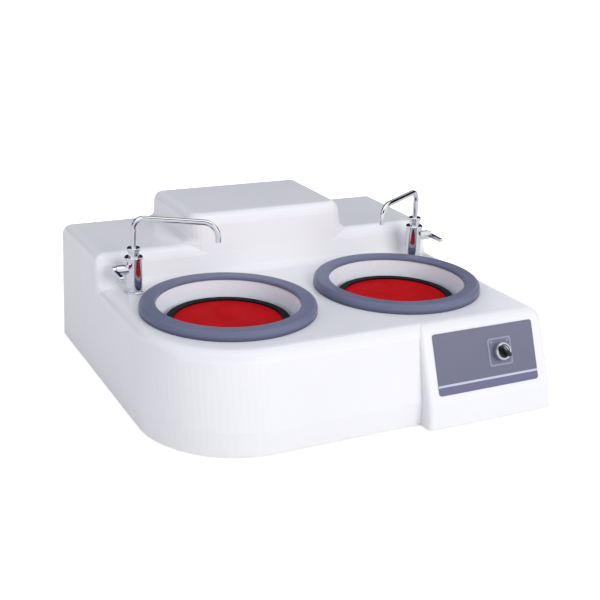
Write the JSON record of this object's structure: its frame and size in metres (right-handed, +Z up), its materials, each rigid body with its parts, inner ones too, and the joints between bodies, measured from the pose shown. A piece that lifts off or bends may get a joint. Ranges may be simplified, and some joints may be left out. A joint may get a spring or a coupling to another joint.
{
  "type": "metallographic grinding machine",
  "caption": "Bench grinding and polishing machine with a white moulded housing, two round water-cooled discs in bowls with splash rings, swivel taps and a selector switch.",
  "frame": {"origin": "on the bench under the centre of the housing's lower rectangle, with the control pod and the rear fittings standing out equally in front and behind", "axes": "+X to the right seen from the front, +Y to the back, +Z up"},
  "size_m": [0.6998, 0.704, 0.311],
  "materials": {
    "white_housing": "gloss white paint on a moulded housing",
    "white_bowl": "gloss white moulded plastic",
    "slate_ring": "satin slate grey plastic",
    "red_cloth": "red woven polishing cloth",
    "black_hoop": "black anodised",
    "platen_aluminium": "turned",
    "machined_steel": "ground",
    "zinc_steel": "zinc plated sheet",
    "bolt_steel": "zinc plated",
    "cast_grey": "machined cast iron",
    "motor_paint": "grey motor paint",
    "winding_copper": "lacquered windings",
    "rotor_steel": "turned core",
    "black_plastic": "matt black",
    "black_rubber": "matt",
    "tap_chrome": "polished chrome plate",
    "bezel_chrome": "satin chrome plate",
    "panel_slate": "satin slate grey film",
    "panel_light": "light print",
    "clear_hose": "soft hose",
    "grey_hose": "ribbed grey hose",
    "outlet_steel": "stainless"
  },
  "bodies": {
    "base": {"shell": "white_housing", "base_plate": "zinc_steel", "feet": "black_rubber", "base_screws": "bolt_steel", "chassis_bolts": "bolt_steel", "left_bowl": "white_bowl", "right_bowl": "white_bowl", "left_bearing_housing": "cast_grey", "right_bearing_housing": "cast_grey", "bearing_outer_rings": "machined_steel", "bearing_balls": "machined_steel", "spindle_seals": "black_rubber", "spindle_bridge": "zinc_steel", "left_belt": "black_rubber", "right_belt": "black_rubber", "motor_bracket": "zinc_steel", "motor_housing": "motor_paint", "motor_stator": "winding_copper", "motor_end_caps": "motor_paint", "motor_fan_cover": "motor_paint", "left_tap": "tap_chrome", "right_tap": "tap_chrome", "spout_nuts": "tap_chrome", "tap_back_nuts": "bolt_steel", "inlet_fitting": "tap_chrome", "supply_hoses": "clear_hose", "drain_hoses": "grey_hose", "drain_outlets": "outlet_steel", "cable_gland": "black_plastic", "control_panel": "panel_slate", "panel_marks": "panel_light", "switch_bezel": "bezel_chrome", "switch_body": "black_plastic"},
    "left_turntable": {"left_spindle": "machined_steel", "left_inner_rings": "machined_steel", "left_platen": "platen_aluminium", "left_cloth": "red_cloth", "left_hoop": "black_hoop", "left_pulley": "cast_grey", "left_pulley_bolt": "bolt_steel"},
    "right_turntable": {"right_spindle": "machined_steel", "right_inner_rings": "machined_steel", "right_platen": "platen_aluminium", "right_cloth": "red_cloth", "right_hoop": "black_hoop", "right_pulley": "cast_grey", "right_pulley_bolt": "bolt_steel"},
    "rotor": {"motor_shaft": "machined_steel", "motor_rotor": "rotor_steel", "motor_fan": "black_plastic", "motor_pulley": "cast_grey", "motor_inner_rings": "machined_steel"},
    "left_ring": {"left_splash_ring": "slate_ring"},
    "right_ring": {"right_splash_ring": "slate_ring"},
    "left_swivel": {"left_spout": "tap_chrome"},
    "right_swivel": {"right_spout": "tap_chrome"},
    "left_valve": {"left_lever": "tap_chrome"},
    "right_valve": {"right_lever": "tap_chrome"},
    "knob": {"selector_knob": "black_plastic"}
  },
  "joints": [
    {"name": "left_disc_spin", "type": "hinge", "parent": "base", "child": "left_turntable", "pos_m": [-0.168, -0.096, 0.08], "axis": [0, 0, 1], "continuous": true},
    {"name": "right_disc_spin", "type": "hinge", "parent": "base", "child": "right_turntable", "pos_m": [0.168, -0.096, 0.08], "axis": [0, 0, 1], "continuous": true},
    {"name": "motor_spin", "type": "hinge", "parent": "base", "child": "rotor", "pos_m": [0, 0.208, 0.15], "axis": [0, 0, 1], "continuous": true},
    {"name": "left_ring_lift", "type": "slide", "parent": "base", "child": "left_ring", "axis": [0, 0, 1], "range_m": [0, 0.05]},
    {"name": "right_ring_lift", "type": "slide", "parent": "base", "child": "right_ring", "axis": [0, 0, 1], "range_m": [0, 0.05]},
    {"name": "left_spout_swivel", "type": "hinge", "parent": "base", "child": "left_swivel", "pos_m": [-0.29, 0.043, 0.24], "axis": [0, 0, 1], "range_deg": [-100, 35]},
    {"name": "right_spout_swivel", "type": "hinge", "parent": "base", "child": "right_swivel", "pos_m": [0.29, 0.043, 0.24], "axis": [0, 0, 1], "range_deg": [-35, 100]},
    {"name": "left_lever_turn", "type": "hinge", "parent": "base", "child": "left_valve", "pos_m": [-0.323, 0.043, 0.213], "axis": [-1, 0, 0], "range_deg": [0, 90]},
    {"name": "right_lever_turn", "type": "hinge", "parent": "base", "child": "right_valve", "pos_m": [0.323, 0.043, 0.213], "axis": [-1, 0, 0], "range_deg": [0, 90]},
    {"name": "selector_turn", "type": "hinge", "parent": "base", "child": "knob", "pos_m": [0.2465, -0.31855, 0.11248], "axis": [0, -0.931, 0.365], "range_deg": [-80, 0]}
  ],
  "couplings": [
    {"joint": "motor_spin", "follows": "left_disc_spin", "ratio": 3},
    {"joint": "right_disc_spin", "follows": "left_disc_spin", "ratio": 1.3333}
  ]
}
